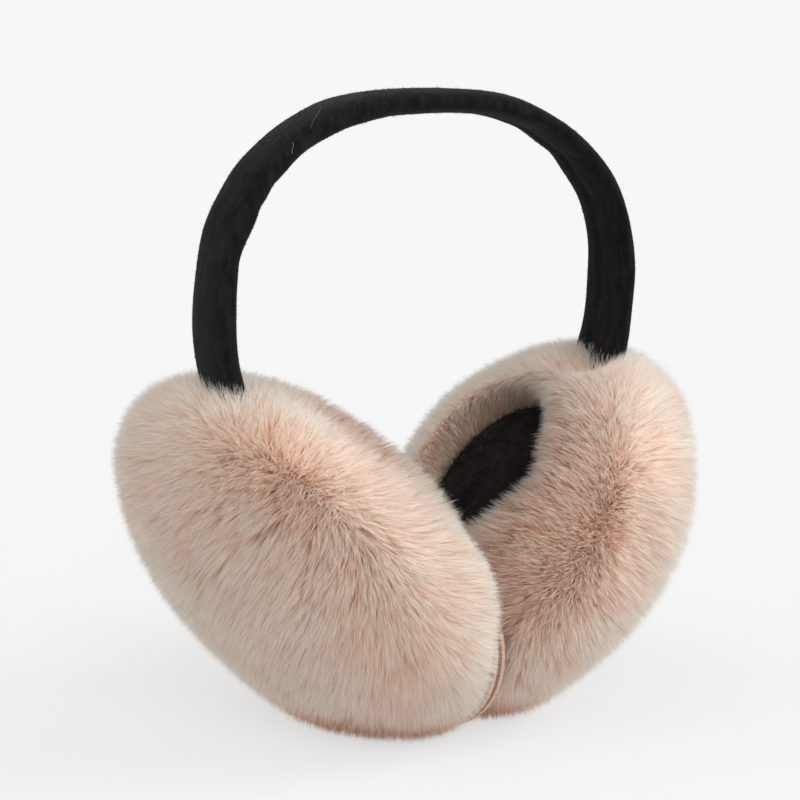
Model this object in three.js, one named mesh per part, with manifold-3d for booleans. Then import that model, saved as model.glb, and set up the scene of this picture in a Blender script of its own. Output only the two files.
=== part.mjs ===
// Fur earmuffs: a padded velvet headband that springs two deep-pile fur cups against each other.
// Each cup is a stuffed oval pad covered in fur locks, with an ear well on its inner side that holds a
// plush ear pad, and a short folded welt where the fur cover is closed. The earmuffs stand by themselves
// on their cups, whose fur is pressed flat on the floor and where the two cups meet.
// Millimetres, +Z up, X from the left cup to the right cup, -Y to the front. The origin is on the floor.
import * as THREE from "three";
import { mergeVertices } from "three/addons/utils/BufferGeometryUtils.js";
import Module from "manifold-3d";

const wasm = await Module();
wasm.setup();

const degrees = Math.PI / 180;

// Cup form, measured over the fur
const cupHeight = 140; // across the cup in its own plane, up and down
const cupDepth = 132; // across the cup in its own plane, front to back
const domeOut = 38; // from the cup's middle plane to the outside of the fur, away from the head
const domeIn = 35; // the same, towards the head
const cupTilt = 39; // degrees that the foot of each cup swings in towards the other
const cupYaw = 3; // degrees that the front of each cup turns in
const cupSetBack = 3; // cup centres behind the plane of the headband's ends
const footPress = 5; // fur squeezed flat on the floor
const cheekPress = 12; // fur of each cup squeezed flat against the other

// Ear well in the inner side of each cup
const wellRadius = 31; // at the foot of its wall
const wellFloor = 13; // from the cup's middle plane to the floor of the well
const wellRise = 7; // centre of the well above the centre of the cup
const wellForward = 2.5; // centre of the well in front of the centre of the cup
const lipRadius = 40; // where the inner dome turns over into the well
const lipReach = 12; // how far the roll of fur carries on inwards before it turns down
const wallReach = 14; // straight part of the well's wall

// Fur locks
const lockPitch = 10.2; // between neighbouring locks
const lockRise = 2.6; // tip of a lock above the cup's form
const lockRoot = 3.6; // valley between locks below the cup's form
const lockDroop = 3.4; // how far a tip hangs down
const lockComb = 2.2; // how far a tip is combed away from the middle of the outer dome
const wellLockShare = 0.25; // size of the last locks in the well, as a share of the others
const fewestLocks = 5; // in the row round the middle of the outer dome

// Ear pad
const padEdge = 4; // thickness at its rim
const padCrown = 5; // how much thicker it is in the middle
const padRound = 2.2; // radius of its rim
const padEase = 0.4; // step in from the rim to the dome

// Headband
const bandWidth = 21.5; // front to back
const bandThickness = 7.5;
const archHalfSpan = 74; // from the middle to the band's centreline where it is widest
const archWidestHeight = 131;
const archCrownHeight = 193; // centreline at the top of the arch
const archSquareness = 2.35; // 2 is an ellipse, more is squarer
const archLean = 2.5; // degrees that the arch leans forward
const tuckDepth = 20; // end of the band above the cup's centre, in the cup's plane
const tuckOffset = 4; // band in the cup, from the cup's middle plane towards the head
const legEase = 1 / 3; // straightness of the band between the arch and the cup
const bandSeamDepth = 0.6; // sewn seam along the inner face
const bandSeamSetBack = 2.2; // seam behind the middle of the band
const sectionSquareness = 2.5;

// Folded welt that closes the fur cover at the front of the inner side
const weltThickness = 1.2;
const weltDepth = 6; // from its free edge into the fur
const weltProud = 1.2; // free edge beyond the cup's form
const weltLow = -50; // where it starts, in degrees over the horizontal from the middle of the pressed face
const weltHigh = 12; // where it ends
const weltEndShare = 0.35; // size of its ends, as a share of the middle
const weltInset = 1.1; // middle of the welt from the pressed face

const clearance = 0.3; // between pieces that touch
const cheekGap = 0.4; // between the two cups
const cheekFall = 28; // middle of the pressed face below the cup's centre

// Soft folds across the band's inner face: where along the band, how deep and how long
const bandFolds = [
  { at: 0.245, depth: 0.07, length: 0.016 },
  { at: 0.285, depth: 0.09, length: 0.014 },
  { at: 0.345, depth: 0.05, length: 0.02 },
  { at: 0.44, depth: 0.04, length: 0.022 },
  { at: 0.615, depth: 0.06, length: 0.018 },
  { at: 0.665, depth: 0.08, length: 0.015 },
  { at: 0.72, depth: 0.05, length: 0.02 },
];

const velvet = new THREE.MeshStandardMaterial({ color: 0x141213, roughness: 0.95, metalness: 0 });
const fur = new THREE.MeshStandardMaterial({ color: 0xcdb3a0, roughness: 1, metalness: 0 });
const plush = new THREE.MeshStandardMaterial({ color: 0x100f0f, roughness: 1, metalness: 0 });
const weltCloth = new THREE.MeshStandardMaterial({ color: 0xc79f86, roughness: 0.9, metalness: 0 });

// A closed geometry as a solid that can be joined and cut
function toSolid(geometry) {
  const bare = geometry.index ? geometry.toNonIndexed() : geometry.clone();
  bare.deleteAttribute("normal");
  bare.deleteAttribute("uv");
  const merged = mergeVertices(bare);
  const mesh = new wasm.Mesh({
    numProp: 3,
    vertProperties: merged.attributes.position.array,
    triVerts: new Uint32Array(merged.index.array),
  });
  return new wasm.Manifold(mesh);
}

function toGeometry(solid) {
  const mesh = solid.getMesh();
  const geometry = new THREE.BufferGeometry();
  geometry.setAttribute("position", new THREE.BufferAttribute(mesh.vertProperties, 3));
  geometry.setIndex(new THREE.BufferAttribute(mesh.triVerts, 1));
  return geometry;
}

// The largest body of a cut solid, without the crumbs that a cut leaves
function largestBody(solid) {
  const bodies = solid.decompose();
  return bodies.reduce((best, body) => (body.volume() > best.volume() ? body : best));
}

// Triangles between two closed rings of vertices, which may have different counts
function joinRings(triangles, first, second) {
  let i = 0;
  let j = 0;
  while (i < first.length || j < second.length) {
    const a = first[i % first.length];
    const b = second[j % second.length];
    const firstIsBehind = (i + 0.5) / first.length <= (j + 0.5) / second.length;
    if (j >= second.length || (i < first.length && firstIsBehind)) {
      triangles.push(a, first[(i + 1) % first.length], b);
      i += 1;
    } else {
      triangles.push(a, second[(j + 1) % second.length], b);
      j += 1;
    }
  }
}

// A closed skin through rings of points, with a fan at each end
function skin(rings, startPoint, endPoint) {
  const points = [startPoint];
  const ringIndices = rings.map((ring) => ring.map((point) => points.push(point) - 1));
  const end = points.push(endPoint) - 1;
  const triangles = [];
  joinRings(triangles, [0], ringIndices[0]);
  for (let k = 1; k < ringIndices.length; k += 1) {
    joinRings(triangles, ringIndices[k - 1], ringIndices[k]);
  }
  joinRings(triangles, ringIndices[ringIndices.length - 1], [end]);
  const geometry = new THREE.BufferGeometry();
  geometry.setAttribute("position", new THREE.Float32BufferAttribute(points.flatMap((p) => p.toArray()), 3));
  geometry.setIndex(triangles.filter((_, n) => {
    const corner = n - (n % 3);
    return new Set(triangles.slice(corner, corner + 3)).size === 3;
  }));
  const solid = toSolid(geometry);
  if (solid.volume() > 0) return geometry;
  geometry.setIndex([...geometry.index.array].reverse());
  return geometry;
}

// The cup's form is a lens of two half ellipsoids, tilted and turned
const cupRotation = new THREE.Matrix4()
  .makeRotationY(cupTilt * degrees)
  .multiply(new THREE.Matrix4().makeRotationZ(-cupYaw * degrees));
const axisOut = new THREE.Vector3(1, 0, 0).applyMatrix4(cupRotation);
const axisFore = new THREE.Vector3(0, 1, 0).applyMatrix4(cupRotation);
const axisUp = new THREE.Vector3(0, 0, 1).applyMatrix4(cupRotation);

// How far the lens reaches from its centre in a direction
function lensReach(direction) {
  const outwards = direction.dot(axisOut);
  const dome = outwards > 0 ? domeOut : domeIn;
  const fore = (direction.dot(axisFore) * cupDepth) / 2;
  const up = (direction.dot(axisUp) * cupHeight) / 2;
  return Math.hypot(outwards * dome, fore, up);
}

const cupCentre = new THREE.Vector3(
  lensReach(new THREE.Vector3(-1, 0, 0)) - cheekPress,
  cupSetBack,
  lensReach(new THREE.Vector3(0, 0, -1)) - footPress,
);
const cupMatrix = cupRotation.clone().setPosition(cupCentre);
const downInCup = new THREE.Vector3(0, 0, -1).transformDirection(cupRotation.clone().invert());

// Half section of the cup: x is the radius and y is along the axis, outwards
function cupProfile() {
  const lipAngle = Math.acos(lipRadius / (cupHeight / 2));
  const profile = new THREE.Path();
  profile.absellipse(0, 0, cupHeight / 2, domeOut, Math.PI / 2, 0, true);
  profile.absellipse(0, 0, cupHeight / 2, domeIn, 0, -lipAngle, true);
  const lip = new THREE.Vector2(lipRadius, -domeIn * Math.sin(lipAngle));
  const along = new THREE.Vector2((-cupHeight / 2) * Math.sin(lipAngle), -domeIn * Math.cos(lipAngle));
  const roll = lip.clone().addScaledVector(along.normalize(), lipReach);
  profile.bezierCurveTo(roll.x, roll.y, wellRadius, -wellFloor - wallReach, wellRadius, -wellFloor);
  return profile;
}

const profile = cupProfile();
const [outerArc, innerArc, wellArc] = profile.curves.filter((curve) => !curve.isLineCurve);
const rimAt = outerArc.getLength();
const lipAt = rimAt + innerArc.getLength();
const footAt = lipAt + wellArc.getLength();

// A point of the cup's form, in the cup's own frame
function formPoint(along, angle) {
  const at = profile.getPoint(THREE.MathUtils.clamp(along / footAt, 0, 1));
  const towardsWell = THREE.MathUtils.smoothstep(along, rimAt, lipAt);
  return new THREE.Vector3(
    at.y,
    (at.x * Math.cos(angle) * cupDepth) / cupHeight - wellForward * towardsWell,
    at.x * Math.sin(angle) + wellRise * towardsWell,
  );
}

// The form's outward normal and the direction away from the outer dome's middle
function formDirections(along, angle) {
  const step = 0.5;
  const comb = formPoint(along + step, angle).sub(formPoint(along - step, angle)).normalize();
  const turn = formPoint(along, angle + 0.02).sub(formPoint(along, angle - 0.02)).normalize();
  return { normal: turn.cross(comb).negate().normalize(), comb };
}

// A repeatable spread of lock sizes
function lockSpread(row, column) {
  const value = Math.sin(row * 12.9898 + column * 78.233) * 43758.5453;
  return 0.75 + 0.5 * (value - Math.floor(value));
}

function lockSize(along) {
  const intoWell = THREE.MathUtils.smoothstep(along, lipAt, footAt);
  return THREE.MathUtils.lerp(1, wellLockShare, intoWell);
}

// The cup with its fur: rows of locks with valleys between them, over the whole form
function furSkin() {
  const rowCount = Math.round(footAt / lockPitch);
  const rowPitch = footAt / rowCount;
  const rings = [];
  const valleyAt = (along, angle) => {
    const { normal } = formDirections(along, angle);
    return formPoint(along, angle).addScaledVector(normal, -lockRoot * lockSize(along));
  };
  const tipAt = (along, angle, spread) => {
    const { normal, comb } = formDirections(along, angle);
    const size = lockSize(along) * spread;
    const tip = formPoint(along, angle).addScaledVector(normal, lockRise * size);
    return tip.addScaledVector(comb, lockComb * size).addScaledVector(downInCup, lockDroop * size);
  };
  const locksIn = (along) => {
    const around = 2 * Math.PI * profile.getPoint(along / footAt).x;
    return Math.max(fewestLocks, Math.round(around / lockPitch));
  };
  for (let row = 0; row < rowCount; row += 1) {
    const valleyRow = (row + 0.5) * rowPitch;
    const tipRow = (row + 1) * rowPitch;
    const valleys = 2 * locksIn(valleyRow);
    rings.push(Array.from({ length: valleys }, (_, n) => valleyAt(valleyRow, (2 * Math.PI * n) / valleys)));
    if (row === rowCount - 1) break;
    const steps = 2 * locksIn(tipRow);
    const phase = row % 2 ? Math.PI / (steps / 2) : 0;
    rings.push(Array.from({ length: steps }, (_, n) => {
      const angle = (2 * Math.PI * n) / steps + phase;
      return n % 2 ? valleyAt(tipRow, angle) : tipAt(tipRow, angle, lockSpread(row, n));
    }));
  }
  const footCount = rings[rings.length - 1].length;
  rings.push(Array.from({ length: footCount }, (_, n) => formPoint(footAt, (2 * Math.PI * n) / footCount)));
  const pole = new THREE.Vector3(domeOut + lockRise, 0, 0).addScaledVector(downInCup, lockDroop);
  const wellCentre = new THREE.Vector3(-wellFloor, -wellForward, wellRise);
  return skin(rings, pole, wellCentre);
}

// The ear pad: a low cushion on the floor of the well
function earPadSkin(grow) {
  const radius = wellRadius - clearance + grow;
  const back = -wellFloor - clearance + grow;
  const sides = 24;
  const rimTurns = [0, 30, 60, 90];
  const pad = [{ radius: radius - padRound, at: back }];
  const rimFront = back - padEdge - 2 * grow;
  pad.push(...rimTurns.map((turn) => ({
    radius: radius - padRound + padRound * Math.sin(turn * degrees),
    at: back - padRound + padRound * Math.cos(turn * degrees),
  })).slice(1));
  for (const share of [1, 0.93, 0.8, 0.62, 0.4, 0.2]) {
    pad.push({ radius: (radius - padEase) * share, at: rimFront - padCrown * (1 - share ** 2) });
  }
  const rings = pad.map((row) => Array.from({ length: sides }, (_, n) => {
    const angle = (2 * Math.PI * n) / sides;
    return new THREE.Vector3(
      row.at,
      (row.radius * Math.cos(angle) * cupDepth) / cupHeight - wellForward,
      row.radius * Math.sin(angle) + wellRise,
    );
  }));
  const backMiddle = new THREE.Vector3(back, -wellForward, wellRise);
  const frontMiddle = new THREE.Vector3(rimFront - padCrown, -wellForward, wellRise);
  return skin(rings, backMiddle, frontMiddle);
}

// The headband's centreline on one side, from the crown down into the cup
function bandSide() {
  const arch = [];
  const archSteps = 40;
  for (let n = 0; n <= archSteps; n += 1) {
    const angle = (Math.PI / 2) * (1 - n / archSteps);
    arch.push(new THREE.Vector2(
      archHalfSpan * Math.cos(angle) ** (2 / archSquareness),
      archWidestHeight + (archCrownHeight - archWidestHeight) * Math.sin(angle) ** (2 / archSquareness),
    ));
  }
  const end = new THREE.Vector3(-tuckOffset, 0, tuckDepth).applyMatrix4(cupMatrix);
  const widest = arch[arch.length - 1];
  const reach = widest.distanceTo(new THREE.Vector2(end.x, end.z)) * legEase;
  const leg = new THREE.CubicBezierCurve(
    widest,
    new THREE.Vector2(widest.x, widest.y - reach),
    new THREE.Vector2(end.x + axisUp.x * reach, end.z + axisUp.z * reach),
    new THREE.Vector2(end.x, end.z),
  );
  return [...arch, ...leg.getSpacedPoints(24).slice(1)];
}

// How much the folds thin the band at a place along it
function foldShare(at) {
  const share = (fold) => fold.depth * Math.exp(-(((at - fold.at) / fold.length) ** 2));
  return bandFolds.reduce((sum, fold) => sum + share(fold), 0);
}

function signedPower(value, power) {
  return Math.sign(value) * Math.abs(value) ** power;
}

function bandSkin(grow) {
  const side = bandSide();
  const points = [...side.slice(1).reverse().map((p) => new THREE.Vector2(-p.x, p.y)), ...side];
  const centreline = new THREE.CatmullRomCurve3(points.map((p) => new THREE.Vector3(p.x, 0, p.y)));
  const stations = 56;
  const corners = 16;
  const lean = new THREE.Matrix4()
    .makeTranslation(0, 0, cupCentre.z)
    .multiply(new THREE.Matrix4().makeRotationX(archLean * degrees))
    .multiply(new THREE.Matrix4().makeTranslation(0, 0, -cupCentre.z));
  const place = (at, across, outwards) => {
    const tangent = centreline.getTangentAt(at);
    const outer = new THREE.Vector3(-tangent.z, 0, tangent.x);
    const point = centreline.getPointAt(at).addScaledVector(outer, outwards);
    point.y += across;
    return point.applyMatrix4(lean);
  };
  const rings = [];
  for (let n = 0; n <= stations; n += 1) {
    const at = n / stations;
    rings.push(Array.from({ length: corners }, (_, k) => {
      const turn = (2 * Math.PI * (k + 0.5)) / corners;
      const across = (bandWidth / 2 + grow) * signedPower(Math.cos(turn), 2 / sectionSquareness);
      const outwards = (bandThickness / 2 + grow) * signedPower(Math.sin(turn), 2 / sectionSquareness);
      const inner = outwards < 0;
      const seam = inner && Math.abs(across - bandSeamSetBack) < bandWidth / corners ? bandSeamDepth : 0;
      const fold = inner ? bandThickness * foldShare(at) : 0;
      return place(at, across, outwards + (grow > 0 ? 0 : seam + fold));
    }));
  }
  const middle = (at, overrun) => {
    const tangent = centreline.getTangentAt(at);
    return place(at, 0, 0).addScaledVector(tangent, overrun);
  };
  if (grow > 0) {
    const extend = (ring, at, reach) => {
      const tangent = centreline.getTangentAt(at);
      return ring.map((p) => p.clone().addScaledVector(tangent, reach));
    };
    rings.unshift(extend(rings[0], 0, -grow));
    rings.push(extend(rings[rings.length - 1], 1, grow));
  }
  return skin(rings, middle(0, -grow), middle(1, grow));
}

// The edge of the pressed face between the cups, in a direction from its middle
function cheekEdge(angle) {
  const middle = new THREE.Vector3(cheekGap / 2, cupCentre.y, cupCentre.z - cheekFall);
  const direction = new THREE.Vector3(0, -Math.cos(angle), Math.sin(angle));
  let within = 0;
  let beyond = cupHeight;
  for (let n = 0; n < 40; n += 1) {
    const reach = (within + beyond) / 2;
    const point = middle.clone().addScaledVector(direction, reach).sub(cupCentre);
    const outwards = point.dot(axisOut);
    const dome = outwards > 0 ? domeOut : domeIn;
    const inside = Math.hypot(
      outwards / dome,
      (2 * point.dot(axisFore)) / cupDepth,
      (2 * point.dot(axisUp)) / cupHeight,
    ) < 1;
    if (inside) within = reach;
    else beyond = reach;
  }
  return { point: middle.addScaledVector(direction, within), direction };
}

function weltSkin(grow) {
  const stations = 14;
  const rings = [];
  for (let n = 0; n <= stations; n += 1) {
    const share = n / stations;
    const { point, direction } = cheekEdge(THREE.MathUtils.lerp(weltLow, weltHigh, share) * degrees);
    const taper = THREE.MathUtils.lerp(weltEndShare, 1, Math.sin(Math.PI * share));
    const half = weltThickness / 2 + grow;
    const proud = weltProud * taper + grow;
    const deep = weltDepth * taper + grow;
    const middle = cheekGap / 2 + weltInset;
    const round = proud - half / 2;
    const corners = [[-half, round], [0, proud], [half, round], [half, -deep], [-half, -deep]];
    rings.push(corners.map(([across, along]) => {
      const corner = point.clone().addScaledVector(direction, along);
      corner.x = middle + across;
      return corner;
    }));
  }
  const total = (ring) => ring.reduce((sum, p) => sum.add(p), new THREE.Vector3());
  const centroid = (ring) => total(ring).divideScalar(ring.length);
  const first = centroid(rings[0]);
  const last = centroid(rings[stations]);
  return skin(rings, first, last);
}

// Half spaces under the floor and past the middle plane
function block(low, high) {
  const size = high.clone().sub(low);
  const box = new THREE.BoxGeometry(size.x, size.y, size.z);
  const middle = low.clone().add(high).divideScalar(2);
  return toSolid(box.translate(middle.x, middle.y, middle.z));
}

const far = 4 * cupHeight;
const underFloor = block(new THREE.Vector3(-far, -far, -far), new THREE.Vector3(far, far, 0));
const pastMiddle = block(new THREE.Vector3(-far, -far, -far), new THREE.Vector3(cheekGap / 2, far, far));

const headbandGeometry = bandSkin(0);
const inCup = cupMatrix.clone().invert();
const padClearance = toSolid(earPadSkin(clearance).applyMatrix4(cupMatrix));
const furSolid = largestBody(
  toSolid(furSkin().applyMatrix4(cupMatrix))
    .subtract(underFloor)
    .subtract(pastMiddle)
    .subtract(toSolid(bandSkin(clearance)))
    .subtract(padClearance)
    .subtract(toSolid(weltSkin(clearance))),
);
const furGeometry = toGeometry(furSolid).applyMatrix4(inCup);
const padGeometry = earPadSkin(0);
const weltGeometry = weltSkin(0).applyMatrix4(inCup);

function named(name, geometry, material) {
  const mesh = new THREE.Mesh(geometry, material);
  mesh.name = name;
  return mesh;
}

// One cup assembly in its own frame, set at its place beside the middle plane
function cup(sideName) {
  const group = new THREE.Group();
  group.add(named(`${sideName}_fur`, furGeometry, fur));
  group.add(named(`${sideName}_ear_pad`, padGeometry, plush));
  group.add(named(`${sideName}_welt`, weltGeometry, weltCloth));
  group.position.copy(cupCentre);
  group.quaternion.setFromRotationMatrix(cupRotation);
  return group;
}

const earmuffs = new THREE.Group();
earmuffs.add(named("headband", headbandGeometry, velvet));
earmuffs.add(cup("right"));
const mirrored = new THREE.Group();
mirrored.scale.x = -1;
mirrored.add(cup("left"));
earmuffs.add(mirrored);

// The origin is under the middle of the whole, on the floor
const extent = new THREE.Box3().setFromObject(earmuffs, true);
earmuffs.position.y = -(extent.min.y + extent.max.y) / 2;

export default earmuffs;
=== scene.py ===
import bpy
import math
import numpy as np
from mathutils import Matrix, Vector
from mathutils.kdtree import KDTree


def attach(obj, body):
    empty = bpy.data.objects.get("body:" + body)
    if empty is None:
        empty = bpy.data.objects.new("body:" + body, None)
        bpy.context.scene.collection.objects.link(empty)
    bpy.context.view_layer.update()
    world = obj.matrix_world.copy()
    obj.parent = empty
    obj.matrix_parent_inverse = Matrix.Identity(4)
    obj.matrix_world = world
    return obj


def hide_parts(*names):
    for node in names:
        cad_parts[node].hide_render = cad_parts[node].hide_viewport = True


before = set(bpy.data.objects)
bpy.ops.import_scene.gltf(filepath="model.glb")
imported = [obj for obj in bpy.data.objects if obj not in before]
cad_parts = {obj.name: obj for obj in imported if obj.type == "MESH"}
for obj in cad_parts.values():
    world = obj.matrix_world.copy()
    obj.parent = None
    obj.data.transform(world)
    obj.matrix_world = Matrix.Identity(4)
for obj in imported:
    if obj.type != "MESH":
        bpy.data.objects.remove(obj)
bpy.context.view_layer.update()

sidePairs = {"right": 1.0, "left": -1.0}  # the cups are mirror images across X
sideSeeds = {"right": 100, "left": 200}


def unit(v):
    return v / np.maximum(np.linalg.norm(v, axis=-1, keepdims=True), 1e-12)


def smoothStep(x, low, high):
    t = np.clip((x - low) / (high - low), 0.0, 1.0)
    return t * t * (3.0 - 2.0 * t)


def lerp(a, b, t):
    return a + (b - a) * t


def hump(x, middle, reach):
    # A soft rise to 1 round the middle
    return np.exp(-(((x - middle) / reach) ** 2))


# Camera, floor and light

cameraView = {
    "azimuth": -34.38,
    "elevation": 8.71,
    "distance": 0.56605,
    "aim": (-0.0051, 0.0010, 0.1010),
    "angle": 24.75,  # degrees across the picture
    "nearest": 0.01,
}

studio = {
    "backdrop": 0.93,  # how bright the paper and the background look
    "ambient": 0.53,  # light from all round
    "floorSize": 30.0,
    "floorColour": 0.21,  # how strongly shadows show on the paper
    "floorBounce": 0.66,  # light that the paper throws back up
}

# Soft lamps: strength, and how wide each looks, its azimuth and its elevation in degrees
lamps = {
    "key": {"strength": 1.9, "width": 34.0, "azimuth": 50.0, "elevation": 34.0},
    "fill": {"strength": 2.95, "width": 50.0, "azimuth": -18.0, "elevation": 20.0},
    "rim": {"strength": 1.15, "width": 80.0, "azimuth": -96.0, "elevation": 44.0},
}


def backDirection(azimuth, elevation):
    a = math.radians(azimuth)
    e = math.radians(elevation)
    return Vector((math.sin(a) * math.cos(e), -math.cos(a) * math.cos(e), math.sin(e)))


def makeCamera():
    data = bpy.data.cameras.new("camera")
    data.angle = math.radians(cameraView["angle"])
    data.clip_start = cameraView["nearest"]
    camera = bpy.data.objects.new("camera", data)
    bpy.context.collection.objects.link(camera)
    back = backDirection(cameraView["azimuth"], cameraView["elevation"])
    camera.location = Vector(cameraView["aim"]) + back * cameraView["distance"]
    camera.rotation_mode = "QUATERNION"
    camera.rotation_quaternion = (-back).to_track_quat("-Z", "Y")
    bpy.context.scene.camera = camera


def seenOrLit(nodes, links, seen, lit):
    # One brightness for what the camera sees and another for the light it gives
    path = addNode(nodes, "ShaderNodeLightPath")
    strength = addNode(nodes, "ShaderNodeMapRange")
    strength.inputs["To Min"].default_value = lit
    strength.inputs["To Max"].default_value = seen
    links.new(path.outputs["Is Camera Ray"], strength.inputs["Value"])
    return strength.outputs["Result"]


def makeStudio():
    world = bpy.data.worlds.new("studio")
    world.use_nodes = True
    nodes, links = world.node_tree.nodes, world.node_tree.links
    background = nodes["Background"]
    background.inputs["Color"].default_value = (1.0, 1.0, 1.0, 1.0)
    strength = seenOrLit(nodes, links, studio["backdrop"], studio["ambient"])
    links.new(strength, background.inputs["Strength"])
    bpy.context.scene.world = world
    bpy.context.scene.view_settings.view_transform = "Standard"

    lampsOnFloor = 0.0
    for name, lamp in lamps.items():
        sun = bpy.data.lights.new(name, "SUN")
        sun.energy = lamp["strength"]
        sun.angle = math.radians(lamp["width"])
        obj = bpy.data.objects.new(name, sun)
        bpy.context.collection.objects.link(obj)
        obj.rotation_mode = "QUATERNION"
        obj.rotation_quaternion = backDirection(lamp["azimuth"], lamp["elevation"]).to_track_quat("Z", "Y")
        lampsOnFloor += lamp["strength"] * math.sin(math.radians(lamp["elevation"])) / math.pi

    half = studio["floorSize"] / 2.0
    mesh = bpy.data.meshes.new("floor")
    corners = [(-half, -half, 0.0), (half, -half, 0.0), (half, half, 0.0), (-half, half, 0.0)]
    mesh.from_pydata(corners, [], [(0, 1, 2, 3)])
    floor = bpy.data.objects.new("floor", mesh)
    bpy.context.collection.objects.link(floor)
    material, nodes, links = newMaterial("paper")
    grey = studio["floorColour"]
    reflected = grey * (studio["ambient"] + lampsOnFloor)
    shader = nodes["Principled BSDF"]
    shader.inputs["Base Color"].default_value = (grey, grey, grey, 1.0)
    shader.inputs["Roughness"].default_value = 1.0
    shader.inputs["Specular IOR Level"].default_value = 0.0
    shader.inputs["Emission Color"].default_value = (1.0, 1.0, 1.0, 1.0)
    strength = seenOrLit(nodes, links, studio["backdrop"] - reflected, studio["floorBounce"])
    links.new(strength, shader.inputs["Emission Strength"])
    mesh.materials.append(material)


# Materials

def newMaterial(name):
    material = bpy.data.materials.new(name)
    material.use_nodes = True
    return material, material.node_tree.nodes, material.node_tree.links


def addNode(nodes, kind, **values):
    node = nodes.new(kind)
    for key, value in values.items():
        setattr(node, key, value)
    return node


def setRamp(ramp, stops):
    elements = ramp.color_ramp.elements
    while len(elements) < len(stops):
        elements.new(0.5)
    for element, (position, colour) in zip(elements, stops):
        element.position = position
        element.color = (*colour, 1.0)


def srgb(r, g, b):
    # From a screen colour to light, by the curve of the sRGB standard
    def linear(c):
        c = c / 255.0
        return c / 12.92 if c <= 0.04045 else ((c + 0.055) / 1.055) ** 2.4
    return (linear(r), linear(g), linear(b))


def addRamp(nodes, links, value, stops):
    ramp = addNode(nodes, "ShaderNodeValToRGB")
    setRamp(ramp, stops)
    links.new(value, ramp.inputs["Fac"])
    return ramp.outputs["Color"]


def addNoise(nodes, links, place, scale, detail):
    noise = addNode(nodes, "ShaderNodeTexNoise")
    noise.inputs["Scale"].default_value = scale
    noise.inputs["Detail"].default_value = detail
    links.new(place, noise.inputs["Vector"])
    return noise


def addBump(nodes, links, height, finish):
    bump = addNode(nodes, "ShaderNodeBump")
    bump.inputs["Strength"].default_value = finish["bump"]
    bump.inputs["Distance"].default_value = finish["bumpDepth"]
    links.new(height, bump.inputs["Height"])
    links.new(bump.outputs["Normal"], nodes["Principled BSDF"].inputs["Normal"])


furFinish = {
    # Colours from a strand's root to its tip. The first is a painted shade, for pile pressed flat where it
    # meets the floor
    "strand": [
        (0.0, srgb(140, 92, 70)),
        (0.17, srgb(209, 160, 135)),
        (0.46, srgb(233, 198, 175)),
        (0.76, srgb(238, 225, 212)),
        (1.0, srgb(246, 246, 240)),
    ],
    "patch": srgb(236, 198, 180),  # pinker patches
    "patchScale": 38.0,
    "patchDetail": 2.0,
    "patchFrom": 0.42,
    "patchTo": 0.72,
    "patchShare": 0.35,
    "strandSpread": 0.07,  # light and dark strands
    "glow": 0.66,  # share of light that passes through a strand
    "roughness": 0.62,
    "shine": 0.25,
}


def furColour(nodes, links):
    along = addNode(nodes, "ShaderNodeAttribute", attribute_name="alongStrand")
    strandColour = addRamp(nodes, links, along.outputs["Fac"], furFinish["strand"])
    place = addNode(nodes, "ShaderNodeTexCoord").outputs["Object"]
    patches = addNoise(nodes, links, place, furFinish["patchScale"], furFinish["patchDetail"])
    patchMask = addNode(nodes, "ShaderNodeMapRange")
    patchMask.inputs["From Min"].default_value = furFinish["patchFrom"]
    patchMask.inputs["From Max"].default_value = furFinish["patchTo"]
    patchMask.inputs["To Max"].default_value = furFinish["patchShare"]
    links.new(patches.outputs["Fac"], patchMask.inputs["Value"])
    # A mix node's colour sockets go by number: 6 and 7 in, 2 out
    tint = addNode(nodes, "ShaderNodeMix", data_type="RGBA")
    tint.inputs[7].default_value = (*furFinish["patch"], 1.0)
    links.new(patchMask.outputs["Result"], tint.inputs[0])
    links.new(strandColour, tint.inputs[6])

    shade = addNode(nodes, "ShaderNodeAttribute", attribute_name="strandShade")
    vary = addNode(nodes, "ShaderNodeHueSaturation")
    brightness = addNode(nodes, "ShaderNodeMapRange")
    brightness.inputs["To Min"].default_value = 1.0 - furFinish["strandSpread"]
    brightness.inputs["To Max"].default_value = 1.0 + furFinish["strandSpread"]
    links.new(shade.outputs["Fac"], brightness.inputs["Value"])
    links.new(brightness.outputs["Result"], vary.inputs["Value"])
    links.new(tint.outputs[2], vary.inputs["Color"])
    return vary.outputs["Color"]


def furMaterial():
    material, nodes, links = newMaterial("long_pile_fur")
    shader = nodes["Principled BSDF"]
    colour = furColour(nodes, links)
    links.new(colour, shader.inputs["Base Color"])
    shader.inputs["Roughness"].default_value = furFinish["roughness"]
    shader.inputs["Specular IOR Level"].default_value = furFinish["shine"]
    facing = addNode(nodes, "ShaderNodeAttribute", attribute_name="coatFacing")
    links.new(facing.outputs["Vector"], shader.inputs["Normal"])

    glow = addNode(nodes, "ShaderNodeBsdfTranslucent")
    links.new(colour, glow.inputs["Color"])
    away = addNode(nodes, "ShaderNodeVectorMath", operation="SCALE")
    away.inputs["Scale"].default_value = -1.0
    links.new(facing.outputs["Vector"], away.inputs[0])
    links.new(away.outputs["Vector"], glow.inputs["Normal"])
    blend = addNode(nodes, "ShaderNodeMixShader")
    blend.inputs[0].default_value = furFinish["glow"]
    links.new(shader.outputs[0], blend.inputs[1])
    links.new(glow.outputs[0], blend.inputs[2])
    links.new(blend.outputs[0], nodes["Material Output"].inputs["Surface"])
    return material


backingFinish = {
    "cloth": [(0.35, srgb(184, 143, 122)), (0.65, srgb(212, 174, 152))],
    "grain": 900.0,
    "grainDetail": 4.0,
    "bump": 0.8,
    "bumpDepth": 0.001,
}


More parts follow.
